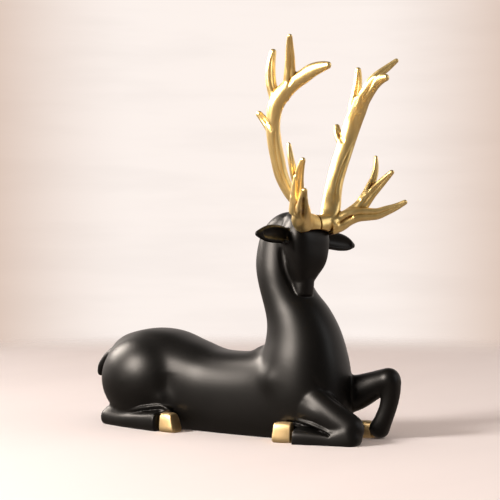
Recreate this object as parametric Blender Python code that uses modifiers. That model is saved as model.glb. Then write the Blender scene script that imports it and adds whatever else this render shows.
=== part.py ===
"""A lying reindeer cast in one piece, its head bowed, with two gilded antlers that rest on its brow.

Metres, +Z up. The deer's body points along +X and its left side is +Y. It lies on Z = 0, and the origin
is the middle of its bounding box on the ground.
"""

import math

import bmesh
import bpy
import numpy as np

# Driving sizes, in metres
FIGURE_LENGTH = 0.216
ANTLER_HEIGHT = 0.111
ANTLER_SEAT_GAP = 0.0003
ANTLER_SEAM_GAP = 0.0005
HOOF_LENGTH = 0.0115
HOOF_HEIGHT = 0.0122
HOOF_WIDTH = 0.0110

# The forms below are in millimetres on a model of these two sizes, and scale with the sizes above
MODEL_LENGTH = 216.0
MODEL_ANTLER_HEIGHT = 111.0
UNIT = FIGURE_LENGTH / MODEL_LENGTH
ANTLER_UNIT = ANTLER_HEIGHT / MODEL_ANTLER_HEIGHT

# The middle of the finished figure's box, in model millimetres from the point that the forms start from
MIDDLE = (-12.6, -5.4)

# How the head is set on the neck: its pivot, how far it turns to the deer's right, and how far it rolls
HEAD_PIVOT = np.array((20.0, 0.0, 110.0))
HEAD_TURN = math.radians(-12.0)
HEAD_ROLL = math.radians(-3.5)

# Fineness, in model millimetres and in triangles
MASS_VOXEL = 1.6
BODY_VOXEL = 1.1
ANTLER_VOXEL = 0.6
BODY_TRIANGLES = 4700
ANTLER_TRIANGLES = 1500
# How far the joins of each stage are softened, in model millimetres, and how strongly in one pass
SMOOTHING = 0.5
MASS_SPREAD = 4.6
LIMB_SPREAD = 1.3
CARVING_SPREAD = 0.55
# A reach past the whole figure, for the cutters
DEEP = 400.0

LEFT = np.array((0.0, 1.0, 0.0))
UP = np.array((0.0, 0.0, 1.0))

# Body stations: x, z, half width, half height
BARREL = (
    (-104.5, 31.0, 11.0, 14.5),
    (-99.5, 31.8, 16.4, 17.8),
    (-90.5, 32.6, 24.2, 24.6),
    (-80.0, 31.4, 30.2, 29.6),
    (-66.0, 29.0, 32.5, 31.8),
    (-48.0, 25.4, 29.0, 30.2),
    (-28.0, 21.2, 25.8, 28.8),
    (-8.0, 19.8, 25.4, 29.0),
    (12.0, 20.6, 25.6, 29.7),
    (32.0, 23.2, 26.2, 29.3),
    (48.0, 25.0, 24.0, 25.0),
    (58.0, 26.0, 17.0, 18.0),
)
# Neck stations, from the chest up and over the nape: x, z, half width, half depth
NECK = (
    (40.0, 8.0, 25.4, 27.0),
    (40.0, 28.0, 27.8, 28.0),
    (39.6, 48.0, 25.8, 25.5),
    (38.2, 60.0, 22.8, 22.8),
    (35.2, 70.0, 20.9, 19.4),
    (30.7, 79.0, 19.4, 15.9),
    (26.8, 87.5, 18.6, 14.5),
    (24.2, 96.0, 18.0, 14.6),
    (22.8, 104.0, 16.8, 15.0),
    (22.6, 112.0, 15.2, 14.2),
    (23.4, 119.0, 13.8, 13.0),
    (26.4, 124.6, 12.6, 10.9),
    (32.0, 128.5, 11.5, 8.5),
)
# The rise in front of the withers: its middle and half sizes
WITHERS_CENTRE = (15.0, 0.0, 42.0)
WITHERS_HALF_SIZE = (14.5, 14.0, 12.8)
# A haunch: centre and half sizes of one side's ball
HAUNCH_CENTRE = (-70.0, -16.5, 29.5)
HAUNCH_HALF_SIZE = (30.0, 22.8, 27.6)
# The right thigh, from the haunch down to the stifle: x, y, z, half width, half height
THIGH = (
    (-74.0, -14.0, 29.0, 22.0, 21.0),
    (-62.0, -16.5, 27.0, 19.0, 17.0),
    (-52.0, -20.5, 22.5, 13.8, 11.5),
    (-45.5, -24.5, 18.5, 9.2, 7.0),
)
# Head stations in the head's own frame, from the crown down to the nose: forward, up, half width, half depth
HEAD = (
    (13.0, 20.6, 12.5, 8.4),
    (17.5, 16.4, 15.5, 12.8),
    (20.5, 10.0, 16.8, 13.2),
    (22.6, 3.0, 16.0, 11.4),
    (22.8, -3.5, 14.2, 10.6),
    (21.8, -9.5, 10.9, 9.0),
    (21.0, -15.0, 7.8, 7.2),
)
# The muzzle, which stands proud of the throat
MUZZLE = (
    (21.6, -9.0, 8.4, 7.0),
    (21.4, -14.5, 6.9, 7.2),
    (21.6, -20.0, 6.3, 6.8),
    (21.8, -24.0, 5.8, 6.2),
)
# Ear stations, from its root to its tip, in the head's frame: forward, out, up, half height, half thickness
EAR = (
    (20.0, 11.0, 8.0, 4.2, 3.6),
    (21.0, 17.0, 9.0, 5.4, 3.8),
    (22.5, 24.0, 9.3, 6.3, 3.6),
    (23.5, 31.0, 9.2, 6.0, 3.0),
    (24.0, 38.0, 8.7, 4.2, 2.2),
    (23.7, 43.0, 8.3, 1.8, 1.2),
)
EAR_HOLLOW = (
    (25.0, 15.5, 9.0, 3.2, 3.0),
    (26.2, 23.0, 9.3, 4.9, 3.2),
    (27.0, 31.0, 9.2, 4.6, 2.8),
    (26.6, 37.5, 8.7, 2.8, 2.0),
)
# Leg stations: x, y, z, half width, half height
NEAR_FOREARM = (
    (30.0, -10.5, 32.0, 9.5, 11.5),
    (46.0, -17.5, 27.0, 11.0, 12.6),
    (60.0, -18.0, 20.4, 10.0, 9.8),
    (71.0, -17.5, 14.2, 9.0, 9.0),
    (79.7, -17.0, 9.0, 8.8, 8.8),
)
NEAR_CANNON = (
    (81.2, -18.6, 5.2, 8.0, 7.4),
    (70.0, -21.0, 5.4, 7.6, 6.9),
    (58.0, -25.0, 5.6, 7.4, 6.7),
    (50.0, -27.2, 5.8, 7.6, 6.8),
    (47.5, -27.8, 5.8, 7.8, 6.9),
)
FAR_FOREARM = (
    (36.0, 12.0, 20.8, 10.0, 11.2),
    (52.0, 14.5, 22.5, 10.0, 11.8),
    (66.0, 16.0, 26.1, 8.6, 10.8),
    (79.6, 16.0, 31.8, 7.8, 8.3),
    (88.4, 15.5, 35.0, 7.7, 7.5),
)
FAR_CANNON = (
    (88.9, 15.5, 33.5, 7.2, 7.0),
    (89.5, 15.3, 26.0, 5.9, 5.5),
    (88.1, 15.0, 18.5, 5.5, 5.0),
    (85.4, 14.7, 11.5, 5.7, 5.2),
    (82.5, 14.5, 5.4, 6.2, 6.0),
)
HIND_SHANK = (
    (-89.5, -23.0, 6.6, 6.4, 6.0),
    (-77.0, -26.0, 9.0, 6.4, 5.6),
    (-62.0, -28.0, 12.0, 6.6, 4.8),
    (-50.0, -29.2, 14.4, 6.4, 4.0),
    (-41.5, -28.6, 13.6, 5.6, 3.4),
)
HIND_CANNON = (
    (-92.0, -24.0, 4.4, 6.2, 5.4),
    (-78.0, -27.4, 4.4, 6.4, 5.6),
    (-60.0, -30.6, 4.8, 6.6, 5.9),
    (-50.0, -32.0, 5.3, 7.0, 6.3),
    (-45.6, -32.4, 5.5, 7.2, 6.5),
)
TAIL = (
    (-100.0, 0.0, 45.0, 4.6, 4.0),
    (-108.5, 0.0, 42.6, 4.6, 3.4),
    (-113.6, 0.0, 38.0, 4.6, 3.1),
    (-117.2, 0.0, 33.0, 4.3, 2.8),
    (-118.6, 0.0, 28.8, 3.2, 2.2),
)
# How deep the hooves' blocks stand in the ground before it cuts them flat
HOOF_SINK = 0.4
# Where each hoof starts behind its leg's cuff, the way its toe points, and its share of the hooves' height
HOOVES = {
    "near_fore": (47.0, -27.8, -0.953, -0.303, 1.0),
    "far_fore": (78.5, 15.0, -1.0, 0.0, 0.84),
    "near_hind": (-42.6, -32.4, 0.995, -0.05, 1.0),
    "far_hind": (-42.6, 32.4, 0.995, 0.05, 1.0),
}

# The height in the head's frame above which the antlers follow their own height
SEAT_UP = 12.0
# Beam stations in the head's frame: forward, out, up, half size across the slant, half size the other way
BEAM = (
    (31.0, -2.5, 18.6, 3.8, 5.4),
    (31.2, 4.0, 18.4, 4.5, 5.5),
    (31.0, 9.4, 19.8, 5.2, 5.2),
    (29.8, 13.0, 24.8, 5.8, 4.1),
    (28.6, 15.4, 30.4, 5.9, 3.7),
    (25.8, 19.2, 36.0, 5.6, 3.6),
    (23.3, 23.8, 45.4, 5.2, 4.0),
    (22.9, 27.3, 55.0, 5.3, 4.2),
    (23.2, 31.0, 65.0, 5.3, 4.2),
    (24.3, 33.8, 75.0, 5.4, 4.2),
    (27.1, 35.0, 84.8, 5.5, 4.6),
    (30.2, 34.5, 90.0, 5.3, 4.8),
    (34.8, 32.6, 95.6, 4.9, 4.6),
    (38.8, 31.1, 98.6, 4.5, 4.2),
    (43.2, 29.5, 101.7, 4.0, 4.3),
    (48.2, 28.0, 104.9, 3.4, 4.1),
    (53.2, 26.6, 106.6, 2.9, 3.4),
    (58.8, 26.0, 107.3, 1.9, 2.2),
)
# Tines in the head's frame: forward, out, up, radius
TINES = {
    "brow": (
        (31.2, 10.9, 18.2, 6.4),
        (33.8, 16.4, 19.6, 5.7),
        (38.3, 20.6, 23.4, 5.1),
        (42.0, 24.6, 25.2, 4.5),
        (46.0, 28.8, 25.7, 4.0),
        (50.0, 33.0, 26.2, 3.5),
        (53.8, 37.0, 28.4, 3.0),
        (57.8, 40.9, 30.8, 2.3),
        (61.8, 44.7, 33.9, 1.7),
    ),
    "upper_brow": (
        (36.4, 23.2, 24.2, 4.9),
        (40.5, 27.5, 29.4, 4.5),
        (42.3, 29.9, 33.3, 4.1),
        (44.4, 31.9, 37.5, 3.7),
        (47.3, 34.5, 41.8, 3.0),
        (50.2, 36.8, 46.0, 2.5),
        (54.8, 39.6, 51.8, 1.6),
    ),
    "sub_brow": (
        (41.7, 28.1, 33.5, 3.0),
        (42.7, 30.5, 38.0, 2.6),
        (43.1, 33.3, 43.0, 2.4),
        (43.7, 36.0, 48.0, 2.2),
        (43.6, 37.7, 53.0, 1.9),
        (42.5, 38.8, 61.2, 1.3),
    ),
    "back": (
        (24.6, 31.2, 66.0, 3.4),
        (22.0, 31.2, 69.6, 3.1),
        (19.2, 31.4, 72.8, 2.8),
        (16.7, 32.3, 76.2, 2.5),
        (13.4, 34.6, 80.8, 2.0),
    ),
    "upper_back": (
        (27.6, 34.6, 86.0, 3.6),
        (25.6, 35.4, 92.0, 3.4),
        (25.0, 37.2, 97.0, 3.2),
        (25.0, 38.2, 102.0, 3.0),
        (25.4, 38.8, 107.0, 2.8),
        (26.0, 38.0, 115.9, 2.0),
    ),
    "middle": (
        (31.2, 33.8, 89.4, 3.9),
        (33.8, 32.9, 94.0, 3.7),
        (35.4, 33.4, 98.0, 3.5),
        (36.7, 34.4, 102.0, 3.5),
        (38.2, 36.0, 107.0, 3.1),
        (41.1, 39.3, 112.0, 2.7),
        (44.8, 43.9, 117.0, 2.2),
        (48.2, 47.7, 121.6, 1.5),
    ),
}
# The way that the wide side of the beam faces: forward, out and up
BEAM_SLANT = (1.0, 1.0, 0.35)
# The lower edge of the brow piece is an arch across the brow: its radius and the height of its top
BROW_ARCH_RADIUS = 44.0
BROW_ARCH_UP = 14.6

BODY_COLOUR = (0.012, 0.012, 0.012, 1.0)
GOLD_COLOUR = (0.80, 0.56, 0.24, 1.0)


def clear_scene():
    """Removes whatever the scene starts with."""
    for obj in list(bpy.data.objects):
        bpy.data.objects.remove(obj)


def new_collection(name):
    collection = bpy.data.collections.new(name)
    bpy.context.scene.collection.children.link(collection)
    return collection


def make_material(name, colour, roughness, metallic):
    material = bpy.data.materials.new(name)
    material.use_nodes = True
    shader = material.node_tree.nodes["Principled BSDF"]
    shader.inputs["Base Color"].default_value = colour
    shader.inputs["Roughness"].default_value = roughness
    shader.inputs["Metallic"].default_value = metallic
    material.diffuse_color = colour
    return material


def object_of(name, mesh, collection):
    obj = bpy.data.objects.new(name, mesh)
    collection.objects.link(obj)
    return obj


def placed(point):
    """A model point, in millimetres, as metres from the origin."""
    return ((point[0] - MIDDLE[0]) * UNIT, (point[1] - MIDDLE[1]) * UNIT, point[2] * UNIT)


def head_axes():
    """The head's forward, left and up directions."""
    turn = (math.cos(HEAD_TURN), math.sin(HEAD_TURN))
    forward = np.array((*turn, 0.0))
    level = math.cos(HEAD_ROLL)
    left = np.array((-turn[1] * level, turn[0] * level, math.sin(HEAD_ROLL)))
    return forward, left, np.cross(forward, left)


def head_point(forward, out, up, side=1):
    """A place in the head's frame as a model point. Side -1 is the deer's right, 1 its left."""
    ahead, left, above = head_axes()
    return HEAD_PIVOT + forward * ahead + side * out * left + up * above


def antler_up(up):
    """Heights above the seat follow the antler's own height."""
    return SEAT_UP + (up - SEAT_UP) * ANTLER_UNIT / UNIT if up > SEAT_UP else up


def smooth_rows(rows, steps):
    """Rows on one smooth curve through the given rows, with this many steps in each span."""
    rows = np.array(rows, float)
    gaps = np.linalg.norm(np.diff(rows[:, :3], axis=0), axis=1)
    slopes = np.diff(rows, axis=0) / gaps[:, None]
    tangents = np.empty_like(rows)
    weights = gaps[:-1, None] + gaps[1:, None]
    tangents[1:-1] = (slopes[:-1] * gaps[1:, None] + slopes[1:] * gaps[:-1, None]) / weights
    tangents[0] = 1.5 * slopes[0] - 0.5 * tangents[1]
    tangents[-1] = 1.5 * slopes[-1] - 0.5 * tangents[-2]
    found = []
    for i, gap in enumerate(gaps):
        for t in np.arange(steps) / steps:
            start = (2 * t**3 - 3 * t**2 + 1) * rows[i] + (t**3 - 2 * t**2 + t) * gap * tangents[i]
            end = (3 * t**2 - 2 * t**3) * rows[i + 1] + (t**3 - t**2) * gap * tangents[i + 1]
            found.append(start + end)
    found.append(rows[-1])
    return np.array(found)


def ring(centre, tangent, across, half_width, half_height, sides, power):
    """Points round one section. A power of 2 is an ellipse, and a larger one is squarer."""
    across = across - (across @ tangent) * tangent
    across = across / np.linalg.norm(across)
    top = np.cross(tangent, across)
    points = []
    for k in range(sides):
        angle = 2 * math.pi * k / sides
        c, s = math.cos(angle), math.sin(angle)
        x = math.copysign(abs(c) ** (2 / power), c) * half_width
        y = math.copysign(abs(s) ** (2 / power), s) * half_height
        points.append(centre + x * across + y * top)
    return points


def loft(rows, across, sides=24, steps=4, power=2.0, caps=(1.0, 1.0), cap_rings=4):
    """A closed body through sections of x, y, z, half width and half height.

    Each end is rounded by its cap, a share of the end section's smaller half size.
    """
    rows = smooth_rows(rows, steps)
    places = rows[:, :3]
    tangents = np.gradient(places, axis=0)
    tangents = tangents / np.linalg.norm(tangents, axis=1)[:, None]
    across = np.array(across, float)
    rings = []
    for row, tangent in zip(rows, tangents):
        rings.append(ring(row[:3], tangent, across, row[3], row[4], sides, power))
    for end, cap in ((0, caps[0]), (-1, caps[1])):
        row, outward = rows[end], tangents[end] * (-1 if end == 0 else 1)
        reach = cap * min(row[3], row[4])
        for k in range(1, cap_rings):
            angle = math.pi / 2 * k / cap_rings
            centre = row[:3] + outward * reach * math.sin(angle)
            shrink = math.cos(angle)
            sizes = (row[3] * shrink, row[4] * shrink)
            capped = ring(centre, tangents[end], across, *sizes, sides, power)
            rings.insert(0 if end == 0 else len(rings), capped)
    first = rows[0, :3] - tangents[0] * caps[0] * min(rows[0, 3], rows[0, 4])
    last = rows[-1, :3] + tangents[-1] * caps[1] * min(rows[-1, 3], rows[-1, 4])
    return first, rings, last


def mesh_of(name, lofts, turned=placed):
    """One mesh that holds each loft as a closed shell, its points placed in metres."""
    bm = bmesh.new()
    for first, rings, last in lofts:
        start = bm.verts.new(turned(first))
        end = bm.verts.new(turned(last))
        loops = [[bm.verts.new(turned(point)) for point in points] for points in rings]
        sides = len(loops[0])
        for k in range(sides):
            j = (k + 1) % sides
            bm.faces.new((start, loops[0][j], loops[0][k]))
            bm.faces.new((end, loops[-1][k], loops[-1][j]))
            for low, high in zip(loops, loops[1:]):
                bm.faces.new((low[k], low[j], high[j], high[k]))
    bmesh.ops.recalc_face_normals(bm, faces=bm.faces)
    mesh = bpy.data.meshes.new(name)
    bm.to_mesh(mesh)
    bm.free()
    return mesh


def ball(name, centre, half_size):
    """A mesh of one ellipsoid."""
    bm = bmesh.new()
    bmesh.ops.create_uvsphere(bm, u_segments=32, v_segments=20, radius=1.0)
    for vert in bm.verts:
        vert.co = placed([centre[i] + vert.co[i] * half_size[i] for i in range(3)])
    mesh = bpy.data.meshes.new(name)
    bm.to_mesh(mesh)
    bm.free()
    return mesh


def joined(name, meshes, collection):
    """One object that holds all the shells of these meshes."""
    bm = bmesh.new()
    for mesh in meshes:
        bm.from_mesh(mesh)
        bpy.data.meshes.remove(mesh)
    mesh = bpy.data.meshes.new(name)
    bm.to_mesh(mesh)
    bm.free()
    return object_of(name, mesh, collection)


def baked(obj):
    """Applies the object's modifiers."""
    bpy.context.view_layer.update()
    evaluated = obj.evaluated_get(bpy.context.evaluated_depsgraph_get())
    mesh = bpy.data.meshes.new_from_object(evaluated)
    obj.modifiers.clear()
    obj.data = mesh
    return obj


def melted(obj, voxel, spread):
    """Fuses the object's shells into one skin, and softens it this far. Both sizes are in model millimetres."""
    remesh = obj.modifiers.new("fuse", "REMESH")
    remesh.mode = "VOXEL"
    remesh.voxel_size = voxel * UNIT
    smooth = obj.modifiers.new("soften", "SMOOTH")
    smooth.factor = SMOOTHING
    smooth.iterations = max(1, round(2 * spread**2 / (SMOOTHING * voxel**2)))
    return baked(obj)


def cut(obj, cutter, operation="DIFFERENCE"):
    """Applies a Boolean with this cutter."""
    boolean = obj.modifiers.new("cut", "BOOLEAN")
    boolean.operation = operation
    boolean.object = cutter
    boolean.solver = "EXACT"
    return baked(obj)


def as_guide(obj):
    """Keeps a cutter in the file, out of the render."""
    obj.hide_render = True
    obj.display_type = "WIRE"
    return obj


def with_y(stations):
    """Stations on the body's middle plane, given as x, z and two half sizes."""
    return [(x, 0.0, z, width, height) for x, z, width, height in stations]


def in_head(stations, side=1):
    """Stations of the head's frame as model stations, each with its two half sizes."""
    found = []
    for forward, out, up, width, height in stations:
        found.append((*head_point(forward, out, up, side), width, height))
    return found


def on_antler(stations, side):
    """Antler stations of the head's frame as model stations, at the antler's own height."""
    return in_head([(forward, out, antler_up(up), *sizes) for forward, out, up, *sizes in stations], side)


def mirrored(stations):
    """The same limb on the other side of the body."""
    return [(x, -y, *rest) for x, y, *rest in stations]


def hoof(start_x, start_y, toe_x, toe_y, share_of_height):
    """A blocky hoof with a rounded top, from behind its cuff to its toe, standing on the ground."""
    toe = np.array((toe_x, toe_y, 0.0))
    half_width = HOOF_WIDTH / 2 / UNIT
    half_height = HOOF_HEIGHT * share_of_height / 2 / UNIT
    start = np.array((start_x, start_y, half_height - HOOF_SINK))
    rows = []
    for share, swell in ((-0.15, 0.94), (0.25, 1.0), (0.6, 1.0), (0.9, 0.93)):
        centre = start + toe * share * HOOF_LENGTH / UNIT
        rows.append((*centre, half_width * swell, half_height * swell))
    return loft(rows, np.cross(UP, toe), sides=20, steps=1, power=3.6, caps=(0.2, 0.25), cap_rings=3)


def make_masses(cutters):
    """The trunk, the neck and the haunches, melted softly into one another."""
    x, y, z = HAUNCH_CENTRE
    rounds = [ball("haunch", (x, y * side, z), HAUNCH_HALF_SIZE) for side in (1, -1)]
    rounds.append(ball("withers", WITHERS_CENTRE, WITHERS_HALF_SIZE))
    trunk = loft(with_y(BARREL), LEFT, sides=40, power=2.6, caps=(0.45, 0.45))
    neck = loft(with_y(NECK), LEFT, sides=40, power=2.2, caps=(0.3, 0.6))
    thighs = [loft(thigh, LEFT, caps=(0.3, 0.8)) for thigh in (THIGH, mirrored(THIGH))]
    masses = joined("masses", rounds + [mesh_of("trunk", [trunk, neck, *thighs])], cutters)
    return melted(masses, MASS_VOXEL, MASS_SPREAD)


def make_limbs():
    """The four folded legs and the tail."""
    limbs = [
        loft(NEAR_FOREARM, LEFT),
        loft(NEAR_CANNON, LEFT, power=2.7, caps=(0.9, 0.25)),
        loft(FAR_FOREARM, LEFT),
        loft(FAR_CANNON, LEFT, power=2.5, caps=(0.9, 0.9)),
        loft(TAIL, LEFT),
    ]
    for stations, cap in ((HIND_SHANK, 0.9), (HIND_CANNON, 0.25)):
        for limb in (stations, mirrored(stations)):
            limbs.append(loft(limb, LEFT, power=2.3, caps=(1.0, cap)))
    return mesh_of("limbs", limbs)


def make_head():
    """The bowed head, without its ears."""
    _, left, _ = head_axes()
    stations = in_head([(forward, 0.0, up, width, depth) for forward, up, width, depth in HEAD])
    return mesh_of("head", [loft(stations, left, sides=40, power=2.5, caps=(0.9, 0.75))])


def make_ears(cutters):
    """Two leaf-shaped ears, hollowed in front."""
    _, _, up = head_axes()
    ears = [loft(in_head(EAR, side), up, caps=(0.5, 0.9)) for side in (-1, 1)]
    hollows = [loft(in_head(EAR_HOLLOW, side), up, caps=(0.9, 0.9)) for side in (-1, 1)]
    cutter = as_guide(object_of("ear_hollows", mesh_of("ear_hollows", hollows), cutters))
    leaves = object_of("ears", mesh_of("ears", ears), cutters)
    return cut(leaves, cutter)


def make_muzzle():
    """The muzzle, fused on after the head so that it stays crisp against the throat."""
    _, left, _ = head_axes()
    stations = in_head([(forward, 0.0, up, width, depth) for forward, up, width, depth in MUZZLE])
    return mesh_of("muzzle", [loft(stations, left, sides=32, power=2.9, caps=(0.3, 0.45))])


def thinned(obj, triangles):
    """Reduces the object to about this many triangles."""
    present = sum(len(polygon.vertices) - 2 for polygon in obj.data.polygons)
    thin = obj.modifiers.new("thin", "DECIMATE")
    thin.ratio = min(1.0, triangles / present)
    return baked(obj)


def make_ground(cutters):
    """A block below the ground, which cuts the underside flat."""
    bm = bmesh.new()
    bmesh.ops.create_cube(bm, size=DEEP * UNIT)
    for vert in bm.verts:
        vert.co.z -= DEEP * UNIT / 2
    mesh = bpy.data.meshes.new("ground")
    bm.to_mesh(mesh)
    bm.free()
    return as_guide(object_of("ground", mesh, cutters))


def make_body(parts, cutters):
    """The whole casting, cut flat where it lies on the ground."""
    masses = make_masses(cutters)
    trunk = joined("trunk", [masses.data.copy(), make_limbs(), make_head()], cutters)
    trunk = melted(trunk, BODY_VOXEL, LIMB_SPREAD)
    ears = make_ears(cutters)
    body = joined("body", [trunk.data.copy(), ears.data.copy(), make_muzzle()], parts)
    body = thinned(melted(body, BODY_VOXEL, CARVING_SPREAD), BODY_TRIANGLES)
    body.data.materials.append(make_material("black_lacquer", BODY_COLOUR, 0.42, 0.0))
    gold = make_material("hoof_gold", GOLD_COLOUR, 0.28, 1.0)
    for places in HOOVES.values():
        block = object_of("hoof", mesh_of("hoof", [hoof(*places)]), cutters)
        block.data.materials.append(gold)
        body = cut(body, block, "UNION")
        bpy.data.objects.remove(block)
    body = cut(body, make_ground(cutters))
    for helper in (masses, trunk, ears):
        bpy.data.objects.remove(helper)
    return body


def make_seat_cutter(body, cutters):
    """The casting grown by the seat's gap, which shapes the underside of each antler."""
    cutter = as_guide(object_of("seat", body.data.copy(), cutters))
    grow = cutter.modifiers.new("grow", "DISPLACE")
    grow.strength = ANTLER_SEAT_GAP
    grow.mid_level = 0.0
    return baked(cutter)


def make_seam_cutter(side, cutters):
    """A block over the other half of the head, which ends each antler at the seam."""
    corners = []
    for out in (ANTLER_SEAM_GAP / UNIT / 2, -DEEP):
        for forward in (-DEEP, DEEP):
            for up in (-DEEP, DEEP):
                corners.append(placed(head_point(forward, out, up, side)))
    bm = bmesh.new()
    verts = [bm.verts.new(corner) for corner in corners]
    bmesh.ops.convex_hull(bm, input=verts)
    bmesh.ops.recalc_face_normals(bm, faces=bm.faces)
    mesh = bpy.data.meshes.new("seam")
    bm.to_mesh(mesh)
    bm.free()
    return as_guide(object_of("seam", mesh, cutters))


def make_arch_cutter(cutters):
    """A drum across the brow, whose top is the arched lower edge of the brow piece."""
    _, left, _ = head_axes()
    back = (0.0, 0.0, BROW_ARCH_UP - BROW_ARCH_RADIUS, BROW_ARCH_RADIUS, BROW_ARCH_RADIUS)
    front = (DEEP, *back[1:])
    drum = loft(in_head([back, front]), left, sides=64, steps=1, caps=(0.0, 0.0), cap_rings=1)
    return as_guide(object_of("arch", mesh_of("arch", [drum]), cutters))


def make_antler(name, side, seat, arch, parts, cutters):
    """One antler, seated on the brow. Side -1 is the deer's right, 1 its left."""
    ahead, left, up = head_axes()
    slant = BEAM_SLANT[0] * ahead + side * BEAM_SLANT[1] * left + BEAM_SLANT[2] * up
    square_to_tines = ahead - side * left
    shells = [loft(on_antler(BEAM, side), slant, steps=3, power=2.1, caps=(0.2, 0.9))]
    for tine in TINES.values():
        stations = on_antler([(*row, row[-1]) for row in tine], side)
        shells.append(loft(stations, square_to_tines, caps=(0.6, 0.9)))
    antler = joined(name, [mesh_of("branch", [shell]) for shell in shells], parts)
    antler = thinned(melted(antler, ANTLER_VOXEL, CARVING_SPREAD), ANTLER_TRIANGLES)
    for cutter in (arch, seat, make_seam_cutter(side, cutters)):
        antler = cut(antler, cutter)
    antler.data.materials.append(make_material("antler_gold", GOLD_COLOUR, 0.28, 1.0))
    return antler


def main():
    clear_scene()
    parts = new_collection("lying_reindeer")
    cutters = new_collection("cutters")
    body = make_body(parts, cutters)
    seat = make_seat_cutter(body, cutters)
    arch = make_arch_cutter(cutters)
    make_antler("antler_right", -1, seat, arch, parts, cutters)
    make_antler("antler_left", 1, seat, arch, parts, cutters)
    for obj in parts.objects:
        obj.data.shade_smooth()


if __name__ == "__main__":
    main()
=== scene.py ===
"""A lying reindeer cast in satin black, its head bowed, with two gilded antlers and four gilded hooves.

The forms are given in millimetres from the figure's own middle line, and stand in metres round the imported
solids. The casting is sculpted in stages: each stage fuses its shells into one skin and softens it less than
the last.
"""

from __future__ import annotations

import logging
import math
from collections.abc import Iterable, Sequence
from dataclasses import dataclass, field
from enum import Enum

import bpy
import numpy as np
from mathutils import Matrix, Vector
from mathutils.bvhtree import BVHTree


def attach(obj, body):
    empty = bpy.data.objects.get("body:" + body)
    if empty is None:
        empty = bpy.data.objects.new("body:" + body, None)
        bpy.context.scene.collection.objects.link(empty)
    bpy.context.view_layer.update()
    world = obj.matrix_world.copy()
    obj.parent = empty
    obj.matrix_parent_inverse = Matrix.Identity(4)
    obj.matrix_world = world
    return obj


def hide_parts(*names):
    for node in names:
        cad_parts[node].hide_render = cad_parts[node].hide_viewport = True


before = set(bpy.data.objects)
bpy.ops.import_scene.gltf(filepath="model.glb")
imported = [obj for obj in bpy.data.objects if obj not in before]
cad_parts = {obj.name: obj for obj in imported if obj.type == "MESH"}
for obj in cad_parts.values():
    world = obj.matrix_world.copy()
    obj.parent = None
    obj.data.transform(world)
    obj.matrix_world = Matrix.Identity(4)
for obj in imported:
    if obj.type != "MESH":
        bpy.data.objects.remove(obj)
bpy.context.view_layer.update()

log = logging.getLogger("reindeer")

Stations = Sequence[Sequence[float]]
Place = tuple[float, float, float]
Colour = tuple[float, float, float]
LEFT = np.array((0.0, 1.0, 0.0))
UP = np.array((0.0, 0.0, 1.0))
# Millimetres that reach past the whole figure
FAR = 400.0
# The way that the photograph looks at the figure
VIEW: Place = (-0.545, 0.839, -0.018)


class Side(Enum):
    """One side of the deer, as the sign of its sideways direction."""

    RIGHT = -1
    LEFT = 1


@dataclass(frozen=True)
class Placing:
    """How the forms' millimetres become metres round the middle of the figure's box."""

    middle_x: float = -12.6
    middle_y: float = -5.4
    millimetre: float = 0.001

    def metres(self, points: np.ndarray) -> np.ndarray:
        """Places points.

        Args:
            points: Places in the forms' millimetres, the last axis holding x, y and z.

        Returns:
            The same places in metres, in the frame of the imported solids.
        """
        return (np.asarray(points, float) - (self.middle_x, self.middle_y, 0.0)) * self.millimetre


PLACING = Placing()


@dataclass(frozen=True)
class HeadFrame:
    """How the head is set on the neck, in the forms' millimetres and in degrees."""

    pivot: Place = (20.0, 0.0, 110.0)
    turn: float = -12.0
    roll: float = -3.5

    def axes(self) -> tuple[np.ndarray, np.ndarray, np.ndarray]:
        """The head's forward, left and up directions."""
        turn, roll = math.radians(self.turn), math.radians(self.roll)
        forward = np.array((math.cos(turn), math.sin(turn), 0.0))
        level = math.cos(roll)
        left = np.array((-forward[1] * level, forward[0] * level, math.sin(roll)))
        return forward, left, np.cross(forward, left)

    def stations(self, rows: Stations, side: Side = Side.LEFT) -> list[tuple[float, ...]]:
        """Moves stations from the head's frame to the figure's.

        Args:
            rows: Stations of forward, out, up and any sizes.
            side: The side that "out" points to.

        Returns:
            Stations of x, y, z and the same sizes.
        """
        ahead, left, above = self.axes()
        found = []
        for forward, out, up, *sizes in rows:
            place = np.array(self.pivot) + forward * ahead + side.value * out * left + up * above
            found.append((*place, *sizes))
        return found


HEAD = HeadFrame()


@dataclass
class Shell:
    """A closed lofted skin: its rings, and the middle point of each end."""

    first: np.ndarray
    rings: np.ndarray
    last: np.ndarray


def on_middle(rows: Stations) -> Stations:
    """Rows that leave out the sideways place, set on the middle line."""
    return tuple((along, 0.0, up, *sizes) for along, up, *sizes in rows)


def smooth_rows(rows: Stations, steps: int) -> np.ndarray:
    """Draws one smooth curve through the rows.

    Args:
        rows: Rows whose first three numbers are a place.
        steps: How many steps each span is drawn with.

    Returns:
        The rows along the curve.
    """
    given = np.array(rows, float)
    gaps = np.linalg.norm(np.diff(given[:, :3], axis=0), axis=1)
    slopes = np.diff(given, axis=0) / gaps[:, None]
    tangents = np.empty_like(given)
    # Two rows alone make a straight line
    tangents[[0, -1]] = slopes[[0, -1]]
    weights = gaps[:-1, None] + gaps[1:, None]
    tangents[1:-1] = (slopes[:-1] * gaps[1:, None] + slopes[1:] * gaps[:-1, None]) / weights
    tangents[0] = 1.5 * slopes[0] - 0.5 * tangents[1]
    tangents[-1] = 1.5 * slopes[-1] - 0.5 * tangents[-2]
    found = []
    for i, gap in enumerate(gaps):
        for t in np.arange(steps) / steps:
            start = (2 * t**3 - 3 * t**2 + 1) * given[i] + (t**3 - 2 * t**2 + t) * gap * tangents[i]
            end = (3 * t**2 - 2 * t**3) * given[i + 1] + (t**3 - t**2) * gap * tangents[i + 1]
            found.append(start + end)
    found.append(given[-1])
    return np.array(found)


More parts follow.
